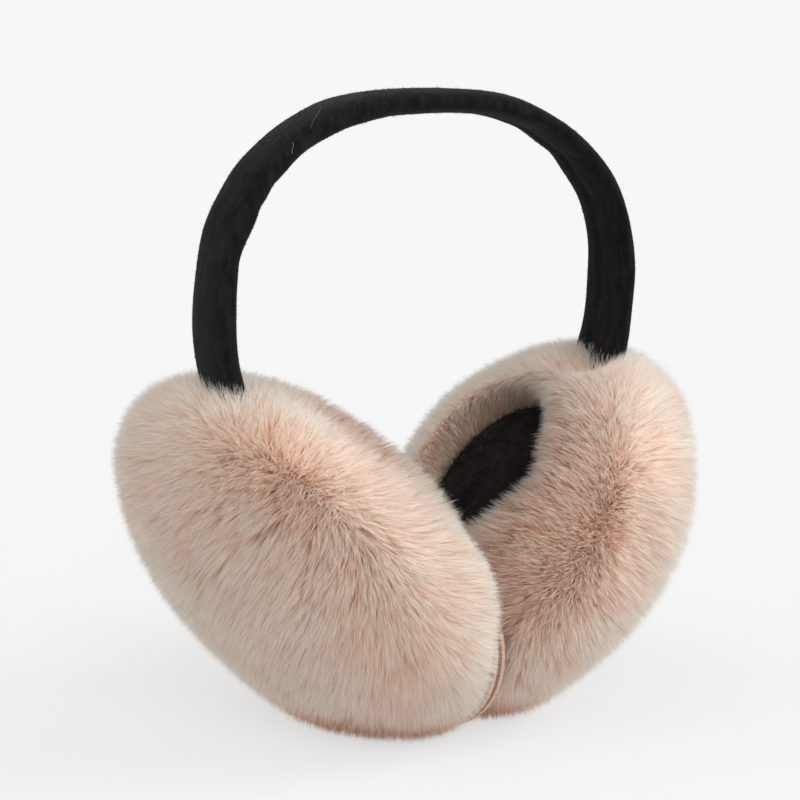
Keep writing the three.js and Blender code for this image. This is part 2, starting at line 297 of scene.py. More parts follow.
def backingMaterial():
    material, nodes, links = newMaterial("fur_undercoat")
    shader = nodes["Principled BSDF"]
    place = addNode(nodes, "ShaderNodeTexCoord").outputs["Object"]
    grain = addNoise(nodes, links, place, backingFinish["grain"], backingFinish["grainDetail"]).outputs["Fac"]
    links.new(addRamp(nodes, links, grain, backingFinish["cloth"]), shader.inputs["Base Color"])
    addBump(nodes, links, grain, backingFinish)
    shader.inputs["Roughness"].default_value = 1.0
    shader.inputs["Specular IOR Level"].default_value = 0.0
    return material


# What the band's velvet and the pads' plush have in common
pileCloth = {
    "crushDetail": 5.0,
    "crushTwist": 0.6,
    "napDetail": 2.0,
    "bump": 0.5,
    "bumpDepth": 0.0004,
    "roughness": 0.95,
    "shine": 0.08,
    "sheenRoughness": 0.45,
}
velvetFinish = {
    "nap": [(0.4, srgb(10, 9, 8)), (0.75, srgb(26, 24, 22))],  # deep, then crushed
    "crushScale": 420.0,
    "streak": 0.30,  # the nap is brushed up and down the band
    "napScale": 2600.0,
    "sheen": 0.035,
}
plushFinish = {
    # The plush is black; its warm tint is painted light bounced from the fur
    "nap": [(0.4, srgb(16, 13, 11)), (0.75, srgb(34, 29, 25))],
    "crushScale": 90.0,
    "streak": 1.0,
    "napScale": 1800.0,
    "sheen": 0.03,
}


def velvetMaterial(name, finish):
    material, nodes, links = newMaterial(name)
    shader = nodes["Principled BSDF"]
    place = addNode(nodes, "ShaderNodeTexCoord").outputs["Object"]
    stretch = addNode(nodes, "ShaderNodeMapping")
    stretch.inputs["Scale"].default_value = (1.0, 1.0, finish["streak"])
    links.new(place, stretch.inputs["Vector"])
    crush = addNoise(nodes, links, stretch.outputs["Vector"], finish["crushScale"], pileCloth["crushDetail"])
    crush.inputs["Distortion"].default_value = pileCloth["crushTwist"]
    links.new(addRamp(nodes, links, crush.outputs["Fac"], finish["nap"]), shader.inputs["Base Color"])
    nap = addNoise(nodes, links, place, finish["napScale"], pileCloth["napDetail"])
    addBump(nodes, links, nap.outputs["Fac"], pileCloth)
    shader.inputs["Roughness"].default_value = pileCloth["roughness"]
    shader.inputs["Specular IOR Level"].default_value = pileCloth["shine"]
    shader.inputs["Sheen Weight"].default_value = finish["sheen"]
    shader.inputs["Sheen Roughness"].default_value = pileCloth["sheenRoughness"]
    return material


weltFinish = {
    "cloth": [(0.0, srgb(140, 98, 80)), (0.6, srgb(184, 150, 130))],
    "ribScale": 700.0,
    "ribTwist": 2.0,
    "bump": 0.4,
    "bumpDepth": 0.0002,
    "roughness": 0.9,
    "sheen": 0.2,
}


def weltMaterial():
    material, nodes, links = newMaterial("folded_backing_cloth")
    shader = nodes["Principled BSDF"]
    place = addNode(nodes, "ShaderNodeTexCoord").outputs["Object"]
    ribs = addNode(nodes, "ShaderNodeTexWave", bands_direction="Z")
    ribs.inputs["Scale"].default_value = weltFinish["ribScale"]
    ribs.inputs["Distortion"].default_value = weltFinish["ribTwist"]
    links.new(place, ribs.inputs["Vector"])
    links.new(addRamp(nodes, links, ribs.outputs["Fac"], weltFinish["cloth"]), shader.inputs["Base Color"])
    addBump(nodes, links, ribs.outputs["Fac"], weltFinish)
    shader.inputs["Roughness"].default_value = weltFinish["roughness"]
    shader.inputs["Sheen Weight"].default_value = weltFinish["sheen"]
    return material


fibreColour = srgb(122, 116, 110)


def fibreMaterial():
    material, nodes, _ = newMaterial("stray_fibre")
    nodes["Principled BSDF"].inputs["Base Color"].default_value = (*fibreColour, 1.0)
    return material


# Meshes from numpy arrays

def linkObject(name, mesh, material):
    mesh.materials.append(material)
    obj = bpy.data.objects.new(name, mesh)
    bpy.context.collection.objects.link(obj)
    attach(obj, "root")
    return obj


def meshFromFaces(name, points, faces):
    mesh = bpy.data.meshes.new(name)
    mesh.from_pydata(points.reshape(-1, 3).tolist(), [], faces)
    mesh.polygons.foreach_set("use_smooth", [True] * len(mesh.polygons))
    mesh.update()
    return mesh


def ringFaces(ringCount, around, flip):
    faces = []
    for i in range(ringCount - 1):
        for j in range(around):
            k = (j + 1) % around
            quad = (i * around + j, i * around + k, (i + 1) * around + k, (i + 1) * around + j)
            faces.append(quad[::-1] if flip else quad)
    return faces


closedEnd = 0.001  # what is left of a ring that is drawn together to close a piece


def closeRing(ring):
    return lerp(ring.mean(0), ring, closedEnd)


def ribbonMesh(name, spine, widths, shade, alongValues, random, facing=None, paintedShadeShare=1.0):
    # Each strand is a narrow ribbon that tapers to a point: pairs of vertices, then a tip
    count, steps = spine.shape[:2]
    direction = unit(spine[:, -1] - spine[:, 0])
    across = unit(np.cross(direction, random.normal(size=(count, 3))))
    pairs = steps - 1
    vertexCount = 2 * pairs + 1
    points = np.empty((count, vertexCount, 3))
    along = np.empty((count, vertexCount))
    for k in range(pairs):
        half = (0.5 * widths[:, k])[:, None] * across
        points[:, 2 * k] = spine[:, k] - half
        points[:, 2 * k + 1] = spine[:, k] + half
        along[:, 2 * k] = along[:, 2 * k + 1] = alongValues[k]
    points[:, -1] = spine[:, -1]
    along[:, -1] = 1.0
    # Painted shade: a share below 1 moves the strand's colours towards its darker root
    along *= np.reshape(paintedShadeShare, (-1, 1))
    corners = []
    for k in range(pairs - 1):
        corners += [2 * k, 2 * k + 1, 2 * k + 3, 2 * k + 2]
    corners += [2 * pairs - 2, 2 * pairs - 1, 2 * pairs]
    sizes = [4] * (pairs - 1) + [3]
    loops = (np.array(corners)[None] + (np.arange(count) * vertexCount)[:, None]).ravel()
    loopSizes = np.tile(sizes, count)
    mesh = bpy.data.meshes.new(name)
    mesh.vertices.add(count * vertexCount)
    mesh.vertices.foreach_set("co", points.ravel())
    mesh.loops.add(len(loops))
    mesh.loops.foreach_set("vertex_index", loops)
    mesh.polygons.add(len(loopSizes))
    mesh.polygons.foreach_set("loop_start", np.cumsum(loopSizes) - loopSizes)
    mesh.polygons.foreach_set("use_smooth", np.ones(len(loopSizes), dtype=bool))
    mesh.update(calc_edges=True)
    mesh.attributes.new("alongStrand", "FLOAT", "POINT").data.foreach_set("value", along.ravel())
    strandShade = np.repeat(shade, vertexCount)
    mesh.attributes.new("strandShade", "FLOAT", "POINT").data.foreach_set("value", strandShade)
    if facing is not None:
        # Strands are lit as the coat they lie in, so that neighbours match however they turn
        facings = np.repeat(facing, vertexCount, axis=0)
        mesh.attributes.new("coatFacing", "FLOAT_VECTOR", "POINT").data.foreach_set("vector", facings.ravel())
        mesh.normals_split_custom_set_from_vertices(facings)
    return mesh


# The cup's form: a lens of two half ellipsoids with an ear well, tilted and turned

cupForm = {
    "height": 0.140,
    "depth": 0.132,
    "domeOut": 0.038,
    "domeIn": 0.035,
    "tilt": 39.0,
    "yaw": 3.0,
    "centreY": 0.00032,
    "footPress": 0.005,
    "cheekPress": 0.012,
    "wellRadius": 0.031,
    "wellFloor": 0.013,
    "wellRise": 0.007,
    "wellForward": 0.0025,
    "lipRadius": 0.040,
    "lipReach": 0.012,
    "wallReach": 0.014,
}


def turnY(angle):
    c, s = math.cos(angle), math.sin(angle)
    return np.array([[c, 0, s], [0, 1, 0], [-s, 0, c]])


def turnZ(angle):
    c, s = math.cos(angle), math.sin(angle)
    return np.array([[c, -s, 0], [s, c, 0], [0, 0, 1]])


cupTurn = turnY(math.radians(cupForm["tilt"])) @ turnZ(-math.radians(cupForm["yaw"]))


def lensReach(direction):
    outwards = direction @ cupTurn[:, 0]
    dome = cupForm["domeOut"] if outwards > 0 else cupForm["domeIn"]
    fore = direction @ cupTurn[:, 1] * cupForm["depth"] / 2
    up = direction @ cupTurn[:, 2] * cupForm["height"] / 2
    return math.hypot(outwards * dome, fore, up)


cupCentre = np.array([
    lensReach(np.array([-1.0, 0, 0])) - cupForm["cheekPress"],
    cupForm["centreY"],
    lensReach(np.array([0, 0, -1.0])) - cupForm["footPress"],
])
downInCup = cupTurn.T @ np.array([0, 0, -1.0])


def makeMeridian(steps=240):
    # Half section of the cup from the middle of the outer dome to the foot of the well's wall
    radius = cupForm["height"] / 2
    lipAngle = math.acos(cupForm["lipRadius"] / radius)
    turn = np.linspace(0, math.pi / 2, steps)
    outer = np.stack([radius * np.sin(turn), cupForm["domeOut"] * np.cos(turn)], 1)
    turn = np.linspace(0, lipAngle, steps)
    inner = np.stack([radius * np.cos(turn), -cupForm["domeIn"] * np.sin(turn)], 1)
    lip = inner[-1]
    heading = unit(np.array([-radius * math.sin(lipAngle), -cupForm["domeIn"] * math.cos(lipAngle)]))
    p1 = lip + heading * cupForm["lipReach"]
    p2 = np.array([cupForm["wellRadius"], -cupForm["wellFloor"] - cupForm["wallReach"]])
    p3 = np.array([cupForm["wellRadius"], -cupForm["wellFloor"]])
    t = np.linspace(0, 1, steps)[:, None]
    wall = (1 - t) ** 3 * lip + 3 * (1 - t) ** 2 * t * p1 + 3 * (1 - t) * t**2 * p2 + t**3 * p3
    points = np.concatenate([outer, inner[1:], wall[1:]])
    lengths = np.concatenate([[0.0], np.cumsum(np.linalg.norm(np.diff(points, axis=0), axis=1))])
    return points, lengths, lengths[steps - 1], lengths[2 * steps - 2]


meridian, meridianLength, rimAt, lipAt = makeMeridian()
footAt = meridianLength[-1]


def formPoint(along, angle):
    along = np.clip(along, 0, footAt)
    radius = np.interp(along, meridianLength, meridian[:, 0])
    axial = np.interp(along, meridianLength, meridian[:, 1])
    intoWell = smoothStep(along, rimAt, lipAt)
    y = radius * np.cos(angle) * cupForm["depth"] / cupForm["height"] - cupForm["wellForward"] * intoWell
    z = radius * np.sin(angle) + cupForm["wellRise"] * intoWell
    return np.stack([axial, y, z], -1)


# The pile fans out over the crest of the roll, where the form turns sharply
pileFan = {"step": 0.0006, "fan": 0.0065, "pastLip": 0.0075, "reach": 0.010, "turnStep": 0.01}


def formDirections(along, angle):
    # The form's outward direction, and the way that the pile is combed
    step = pileFan["step"] + pileFan["fan"] * hump(along, lipAt + pileFan["pastLip"], pileFan["reach"])
    comb = unit(formPoint(along + step, angle) - formPoint(along - step, angle))
    turn = unit(formPoint(along, angle + pileFan["turnStep"]) - formPoint(along, angle - pileFan["turnStep"]))
    return unit(np.cross(comb, turn)), comb


furPress = {
    "softness": 0.0022,
    "floorGap": 0.0001,
    "cheekGap": 0.0003,
    "spread": 0.25,
    "footMiddle": 0.020,  # middle of the pressed foot, out from the mirror plane
    "cheekMiddle": 0.028,  # middle of the pressed cheek, below the cup's centre
}
footCentre = np.array([furPress["footMiddle"], cupForm["centreY"], 0.0])
cheekCentre = np.array([0.0, cupForm["centreY"], cupCentre[2] - furPress["cheekMiddle"]])


def pressFlat(points):
    # Fur that would reach the floor or the other cup is laid flat and spread sideways
    points = points.copy()
    soft = furPress["softness"]
    for axis, level, centre in (
        (2, furPress["floorGap"], footCentre),
        (0, furPress["cheekGap"], cheekCentre),
    ):
        height = points[..., axis] - level
        near = height < soft
        pressed = np.where(near, soft * np.exp(np.minimum(height, soft) / soft - 1), height)
        sideways = points - centre
        sideways[..., axis] = 0
        points += unit(sideways) * ((pressed - height) * furPress["spread"])[..., None]
        points[..., axis] = level + pressed
    points[..., 2] = np.maximum(points[..., 2], furPress["floorGap"])
    return points


def toWorld(points, side):
    world = points @ cupTurn.T + cupCentre
    world = pressFlat(world)
    world[..., 0] *= sidePairs[side]
    return world


# Fur

# The guard hairs, and the finer underfur between them
coats = [
    {"name": "pile", "count": 60000, "width": 0.00018, "steps": [0.0, 0.6, 1.0], "taper": [1.0, 0.9],
     "lively": 1.0, "seed": 0},
    {"name": "underfur", "count": 215000, "width": 0.00024, "steps": [0.0, 1.0], "taper": [1.0],
     "lively": 0.5, "seed": 40},
]

# Strands gather into small tufts and larger locks
gathers = [
    {"spacing": 0.0022, "pull": 0.35, "seed": 11},
    {"spacing": 0.0095, "pull": 0.14, "seed": 12},
]

furGrowth = {
    "pile": 0.0135,
    "innerPile": 0.0100,
    "wallPile": 0.0070,
    "shortest": 0.9,  # the shortest strand, as a share of the pile
    "lengthSpread": 0.2,
    "dentCut": 0.5,  # how much of a dent's depth is cut from the pile
    "thinnest": 0.75,
    "widthSpread": 0.5,
    # painted shade where the pile meets the floor: how far its colour goes towards the root
    "paintedFloorShadeShown": 0.0,
    "paintedDomeShade": 0.94,  # painted shade: the dome's pile is drawn a little darker than the inner side's
    "outerFrom": 0.8,  # where that changes, as shares of the way to the rim
    "outerTo": 1.1,
    # painted shade near the floor fades out over this height
    "paintedFloorShadeHeight": 0.012,
    "facingSpread": 0.22,  # how far strands' lighting differs from the coat's
    "droopRoot": 0.08,
    "droopTip": 0.42,
    "combTip": 0.10,
    "wander": 0.16,  # slow change of direction from place to place
    "wanderReach": 0.014,
    "wanderRoot": 0.5,
    "scatter": 0.12,  # each strand's own change of direction
    "unevenness": 0.0008,
    "wispShare": 0.03,
    "wispReach": 0.0022,
    "ballRadius": 0.0600,  # of a ball with about as much fur round it
    "ownShade": 0.6,  # the rest of a strand's shade is its tuft's or lock's
    "weakestPull": 0.4,
    "bend": 1.6,
    "wellMargin": 0.0012,  # strands stop this far above the foot of the well's wall
    "overhang": 0.0045,  # the roll hangs this far over the ear pad at its front and foot
    "overhangTurn": 222.0,  # where it hangs over most, in degrees round the well
    "overhangFrom": 0.010,  # before the lip
    "overhangTo": 0.004,  # past the lip
    "shoulder": 0.0024,  # extra loft at the top of the outer dome
    "shoulderAt": 0.92,  # share of the way to the rim
    "shoulderReach": 0.020,
    "shoulderFrom": 0.5,
    "domeShare": 0.93,  # share of the way to the rim where the inner pieces take over
    "gridSteps": 600,
}


def sampleForm(count, random):
    limit = footAt - furGrowth["wellMargin"]
    grid = np.linspace(0, limit, furGrowth["gridSteps"])
    radius = np.interp(grid, meridianLength, meridian[:, 0])
    share = np.cumsum(radius)
    share = (share - share[0]) / (share[-1] - share[0])
    along = np.interp(random.random(count), share, grid)
    return along, random.random(count) * 2 * math.pi


slowWaves = {"count": 7, "calm": 3.5}


def slowField(points, scale, seed):
    # A smooth vector that changes from place to place, from a few waves
    random = np.random.default_rng(seed)
    field = np.zeros(points.shape)
    for _ in range(slowWaves["count"]):
        wave = random.normal(size=3) / scale
        phase = random.random() * 2 * math.pi
        field += np.sin(points @ wave + phase)[..., None] * random.normal(size=3)
    return field / slowWaves["calm"]


def nearestOf(points, centres):
    tree = KDTree(len(centres))
    for index, centre in enumerate(centres):
        tree.insert(centre, index)
    tree.balance()
    return np.array([tree.find(p)[1] for p in points])


def pileAt(along):
    pile = lerp(furGrowth["pile"], furGrowth["innerPile"], smoothStep(along, rimAt, lipAt))
    return lerp(pile, furGrowth["wallPile"], smoothStep(along, lipAt, footAt))


# Where the pile lies lower, or prouder where the depth is negative
pileDents = {
    "right": [
        {"along": 0.110, "angle": 104.0, "depth": 0.0040, "reach": 0.013, "turn": 11.0},
        {"along": 0.118, "angle": 106.0, "depth": 0.0050, "reach": 0.010, "turn": 9.0},
        {"along": 0.137, "angle": 180.0, "depth": 0.0030, "reach": 0.010, "turn": 13.0},
        {"along": 0.086, "angle": 243.0, "depth": 0.0028, "reach": 0.016, "turn": 14.0},
        {"along": 0.120, "angle": 28.0, "depth": -0.0022, "reach": 0.014, "turn": 24.0},
        {"along": 0.071, "angle": 166.0, "depth": -0.0014, "reach": 0.016, "turn": 22.0},
        {"along": 0.062, "angle": 212.0, "depth": 0.0010, "reach": 0.014, "turn": 14.0},
        {"along": 0.092, "angle": 103.0, "depth": -0.0012, "reach": 0.014, "turn": 16.0},
    ],
    "left": [
        {"along": 0.117, "angle": 128.0, "depth": 0.0026, "reach": 0.014, "turn": 21.0},
        {"along": 0.119, "angle": 151.0, "depth": 0.0016, "reach": 0.012, "turn": 11.0},
        {"along": 0.086, "angle": 76.0, "depth": -0.0010, "reach": 0.012, "turn": 12.0},
        {"along": 0.108, "angle": 198.0, "depth": -0.0045, "reach": 0.014, "turn": 18.0},
        {"along": 0.038, "angle": 273.0, "depth": -0.0014, "reach": 0.030, "turn": 35.0},
    ],
}


def dentAt(along, angle, side):
    depth = np.zeros(along.shape)
    for dent in pileDents[side]:
        turned = (angle - math.radians(dent["angle"]) + math.pi) % (2 * math.pi) - math.pi
        around = hump(turned, 0.0, math.radians(dent["turn"]))
        depth += dent["depth"] * hump(along, dent["along"], dent["reach"]) * around
    return depth


def loftAt(along, angle):
    # Where the fur stands prouder than the cup's form
    onWall = smoothStep(along, lipAt - furGrowth["overhangFrom"], lipAt + furGrowth["overhangTo"])
    facing = 0.5 + 0.5 * np.cos(angle - math.radians(furGrowth["overhangTurn"]))
    onShoulder = hump(along, rimAt * furGrowth["shoulderAt"], furGrowth["shoulderReach"])
    onShoulder = onShoulder * smoothStep(np.sin(angle), furGrowth["shoulderFrom"], 1.0)
    return onWall * facing * furGrowth["overhang"] + onShoulder * furGrowth["shoulder"]


def growTips(along, angle, random, seed, lively, side):
    normal, comb = formDirections(along, angle)
    base = formPoint(along, angle)
    count = len(along)
    rise = random.normal(size=count) * furGrowth["unevenness"]
    wisps = random.random(count) < furGrowth["wispShare"] * lively
    rise = rise + np.where(wisps, random.random(count) * furGrowth["wispReach"], 0)
    rise = rise + loftAt(along, angle) - dentAt(along, angle, side)
    tip = base + normal * rise[:, None]
    wander = slowField(base, furGrowth["wanderReach"], seed) * furGrowth["wander"]
    own = random.normal(size=(count, 3)) * furGrowth["scatter"]
    tipWay = unit(normal + downInCup * furGrowth["droopTip"] + comb * furGrowth["combTip"] + wander + own)
    rootWay = unit(normal + downInCup * furGrowth["droopRoot"] + wander * furGrowth["wanderRoot"])
    return tip, tipWay, rootWay


def gatherTips(tip, shade, side, seed):
    # How far each tip is pulled to the middle of its tuft and its lock, and the shade it takes there
    area = 4 * math.pi * furGrowth["ballRadius"] ** 2
    ownShade = furGrowth["ownShade"]
    weakest = furGrowth["weakestPull"]
    pull = np.zeros(tip.shape)
    for gather in gathers:
        random = np.random.default_rng(seed + gather["seed"])
        along, angle = sampleForm(int(area / gather["spacing"] ** 2), random)
        centres = growTips(along, angle, random, seed, 1.0, side)[0]
        nearest = nearestOf(tip, centres)
        strength = gather["pull"] * (weakest + (1 - weakest) * random.random(len(centres)))[nearest]
        pull += (centres[nearest] - tip) * strength[:, None]
        shade = ownShade * shade + (1 - ownShade) * random.random(len(centres))[nearest]
    return pull, shade


def furStrands(side, seed, coat):
    random = np.random.default_rng(seed)
    count = coat["count"]
    along, angle = sampleForm(count, random)
    tip, tipWay, rootWay = growTips(along, angle, random, seed, coat["lively"], side)
    pile = pileAt(along) * (furGrowth["shortest"] + furGrowth["lengthSpread"] * random.random(count))
    pile = pile - furGrowth["dentCut"] * np.maximum(dentAt(along, angle, side), 0)
    middle = tip - tipWay * (pile * 0.5)[:, None]
    root = middle - rootWay * (pile * 0.5)[:, None]
    pull, shade = gatherTips(tip, random.random(count), side, seed)

    spine = np.empty((count, len(coat["steps"]), 3))
    for k, t in enumerate(coat["steps"]):
        curve = (1 - t) ** 2 * root + 2 * (1 - t) * t * middle + t * t * tip
        spine[:, k] = curve + pull * t ** furGrowth["bend"]
    normal, _ = formDirections(along, angle)
    facing = unit(normal + random.normal(size=(count, 3)) * furGrowth["facingSpread"]) @ cupTurn.T
    facing[:, 0] *= sidePairs[side]
    world = toWorld(spine, side)
    # Painted shade: near the floor, where the pile is pressed flat, strands take their darker root colours
    paintedShadeScale = lerp(furGrowth["paintedFloorShadeShown"], 1.0, smoothStep(world[:, -1, 2], 0.0, furGrowth["paintedFloorShadeHeight"]))
    # Painted shade: the outer dome's strands are drawn a little darker than the inner side's
    onInner = smoothStep(along, rimAt * furGrowth["outerFrom"], rimAt * furGrowth["outerTo"])
    paintedShadeScale = paintedShadeScale * lerp(furGrowth["paintedDomeShade"], 1.0, onInner)
    return world, facing, along, shade, paintedShadeScale, random


def furPieces(side, seed):
    # Each coat has one piece for the outer dome and one for the inner side
    for coat in coats:
        spine, facing, along, shade, paintedShadeScale, random = furStrands(side, seed + coat["seed"], coat)
        width = coat["width"] * (furGrowth["thinnest"] + furGrowth["widthSpread"] * random.random(len(along)))
        widths = width[:, None] * np.array(coat["taper"])
        outer = along < rimAt * furGrowth["domeShare"]
        for part, keep in (("outer", outer), ("inner", ~outer)):
            name = f"{side}_{coat['name']}_{part}"
            mesh = ribbonMesh(name, spine[keep], widths[keep], shade[keep], coat["steps"], random,
                              facing[keep], paintedShadeScale[keep])
            linkObject(name, mesh, fur)


coreShape = {
    "rings": 90,
    "around": 120,
    "firstRing": 0.002,  # the middle of the dome has no direction of its own
    "inset": 0.80,  # depth of the body in the pile, as a share of the pile
    "lipShare": 0.25,
    "lipReach": 0.010,
    "wallShare": 0.35,
    "dentShare": 0.8,
}


def furCore(side):
    # The stuffed body that the pile grows from, a pile's depth inside the fur's form
    along = np.linspace(0.0, footAt, coreShape["rings"])[:, None]
    angle = (np.arange(coreShape["around"]) * 2 * math.pi / coreShape["around"])[None]
    along, angle = np.broadcast_arrays(along, angle)
    normal, _ = formDirections(np.maximum(along, coreShape["firstRing"]), angle)
    inset = pileAt(along) * coreShape["inset"]
    inset = inset * (1 - coreShape["wallShare"] * smoothStep(along, lipAt, footAt))
    inset = inset * (1 - coreShape["lipShare"] * hump(along, lipAt, coreShape["lipReach"]))
    inset = inset + coreShape["dentShare"] * np.maximum(dentAt(along, angle, side), 0)
    points = formPoint(along, angle) - normal * inset[..., None]
    points[0] = points[0].mean(0)
    points = np.concatenate([points, closeRing(points[-1])[None]])
    world = toWorld(points, side)
    faces = ringFaces(len(points), coreShape["around"], side == "right")
    mesh = meshFromFaces(f"{side}_cup_body", world, faces)
    core = linkObject(f"{side}_cup_body", mesh, backing)
    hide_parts(f"{side}_fur")


# Ear pad

earPad = {
    "edge": 0.004,
    "crown": 0.005,
    "round": 0.0022,
    "roundFrom": 0.93,  # share of the radius where the edge starts to round off
    "roundNext": 0.94,  # the next ring after that
    "roundRings": 8,
    "gap": 0.0003,
    "firstRing": 0.001,
    "rings": 30,
    "around": 96,
    "napCount": 9000,
    "napLength": 0.0016,
    "napShortest": 0.7,
    "napSpread": 0.6,
    "napScatter": 0.4,
    "napEdge": 0.985,
    "napWidth": 0.00016,
    "seed": 5,
}


def padPoint(share, angle):
    radius = cupForm["wellRadius"] - earPad["gap"]
    front = -cupForm["wellFloor"] - earPad["gap"] - earPad["edge"]
    start = earPad["roundFrom"]
    rounding = np.where(share > start, (share - start) / (1 - start), 0.0)
    axial = front - earPad["crown"] * (1 - share**2) + earPad["round"] * (1 - np.sqrt(1 - rounding**2))
    y = radius * share * np.cos(angle) * cupForm["depth"] / cupForm["height"] - cupForm["wellForward"]
    z = radius * share * np.sin(angle) + cupForm["wellRise"]
    return np.stack([axial, y, z], -1)


def padPiece(side):
    flatRings = earPad["rings"] - earPad["roundRings"]
    share = np.concatenate([
        np.linspace(earPad["firstRing"], earPad["roundFrom"], flatRings),
        np.linspace(earPad["roundNext"], 1.0, earPad["roundRings"]),
    ])[:, None]
    angle = (np.arange(earPad["around"]) * 2 * math.pi / earPad["around"])[None]
    share, angle = np.broadcast_arrays(share, angle)
    front = padPoint(share, angle)
    back = front[-1].copy()
    back[:, 0] = -cupForm["wellFloor"] - earPad["gap"]
    points = np.concatenate([front, back[None], closeRing(back)[None]])
    world = toWorld(points, side)
    mesh = meshFromFaces(f"{side}_pad", world, ringFaces(len(points), earPad["around"], side == "left"))
    pad = linkObject(f"{side}_pad", mesh, plush)
    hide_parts(f"{side}_ear_pad")


def padNap(side, seed):
    random = np.random.default_rng(seed)
    count = earPad["napCount"]
    where = np.sqrt(random.random(count)) * earPad["napEdge"]
    turn = random.random(count) * 2 * math.pi
    root = padPoint(where, turn)
    way = unit(np.array([-1.0, 0, 0]) + random.normal(size=(count, 3)) * earPad["napScatter"])
    length = earPad["napLength"] * (earPad["napShortest"] + earPad["napSpread"] * random.random(count))
    tip = root + way * length[:, None]
    spine = toWorld(np.stack([root, tip], 1), side)
    widths = np.full((count, 1), earPad["napWidth"])
    nap = ribbonMesh(f"{side}_pad_nap", spine, widths, random.random(count), [0.0, 1.0], random)
    linkObject(f"{side}_pad_nap", nap, plush)


# Headband

bandShape = {
    "width": 0.0208,
    "thickness": 0.0075,
    "halfSpan": 0.074,
    "widestHeight": 0.131,
    "crownHeight": 0.193,
    "squareness": 2.35,
    "lean": 2.5,
    "centreY": -0.00268,
    "tuckDepth": 0.020,
    "tuckOffset": 0.004,
    "section": 2.5,
    "innerBlend": 0.0015,
    "flare": 0.0018,  # how much thicker the band gets towards the cups, on its inner face
    "flareFrom": 0.35,  # from the crown, as shares of the band
    "flareTo": 0.43,
    "archSteps": 200,
    "legSteps": 120,
    "legBend": 3.0,  # a leg's curve keeps its direction for one part in this many of its length
    "tangentStep": 0.004,
    "stations": 300,
    "corners": 48,
    "seamDepth": 0.0007,
    "seamSetBack": 0.0022,
    "seamWidth": 0.0007,
    "napCount": 14000,
    "napFrom": 0.05,
    "napSpan": 0.9,
    "napLength": 0.0005,
    "napShortest": 0.6,
    "napSpread": 0.8,
    "napScatter": 0.5,
    "napWidth": 0.00014,
    "napSeed": 77,
}

# Small unevenness of the padding under the velvet
crumples = [
    {"reach": 0.006, "size": 0.00022, "seed": 5},
    {"reach": 0.018, "size": 0.00035, "seed": 6},
]

# Soft folds across the band's inner face: where along it, how deep and how long, as shares
bandFolds = [
    {"at": 0.240, "depth": 0.08, "length": 0.016},
    {"at": 0.284, "depth": 0.06, "length": 0.008},
    {"at": 0.306, "depth": 0.05, "length": 0.007},
    {"at": 0.345, "depth": 0.05, "length": 0.020},
    {"at": 0.440, "depth": 0.04, "length": 0.022},
    {"at": 0.615, "depth": 0.06, "length": 0.018},
    {"at": 0.665, "depth": 0.08, "length": 0.015},
    {"at": 0.720, "depth": 0.05, "length": 0.020},
    {"at": 0.775, "depth": 0.09, "length": 0.050},
]

# Where the band's outer face stands prouder or lower, in the same way
bandSwells = [
    {"at": 0.220, "rise": -0.0006, "length": 0.070},
    {"at": 0.405, "rise": 0.0010, "length": 0.035},
    {"at": 0.640, "rise": -0.0006, "length": 0.060},
]

# Stray fibres on the velvet: share along the band and angle round it, at each end
lintFibres = [
    {"from": (0.389, 82.0), "to": (0.358, 160.0), "sway": 0.004},
    {"from": (0.341, 143.0), "to": (0.334, 172.0), "sway": 0.001},
]
lintShape = {"steps": 18, "lift": 0.0007, "width": 0.00010, "seed": 3}


def bandLine():
    # Centreline in the XZ plane from the left end to the right end, evenly spaced
    turn = np.linspace(math.pi / 2, 0, bandShape["archSteps"])
    power = 2 / bandShape["squareness"]
    rise = bandShape["crownHeight"] - bandShape["widestHeight"]
    arch = np.stack([
        bandShape["halfSpan"] * np.maximum(np.cos(turn), 0) ** power,
        bandShape["widestHeight"] + rise * np.maximum(np.sin(turn), 0) ** power,
    ], 1)
    end = cupTurn @ np.array([-bandShape["tuckOffset"], 0, bandShape["tuckDepth"]]) + cupCentre
    end = end[[0, 2]]
    up = cupTurn[[0, 2], 2]
    widest = arch[-1]
    reach = np.linalg.norm(widest - end) / bandShape["legBend"]
    p1 = widest - np.array([0, reach])
    p2 = end + up * reach
    t = np.linspace(0, 1, bandShape["legSteps"])[1:, None]
    leg = (1 - t) ** 3 * widest + 3 * (1 - t) ** 2 * t * p1 + 3 * (1 - t) * t**2 * p2 + t**3 * end
    side = np.concatenate([arch, leg])
    mirrored = side[:0:-1] * np.array([-1, 1])
    line = np.concatenate([mirrored, side])
    length = np.concatenate([[0], np.cumsum(np.linalg.norm(np.diff(line, axis=0), axis=1))])
    return line, length / length[-1]


bandPath, bandShare = bandLine()


def bandCentre(at):
    return np.stack([np.interp(at, bandShare, bandPath[:, k]) for k in (0, 1)], -1)


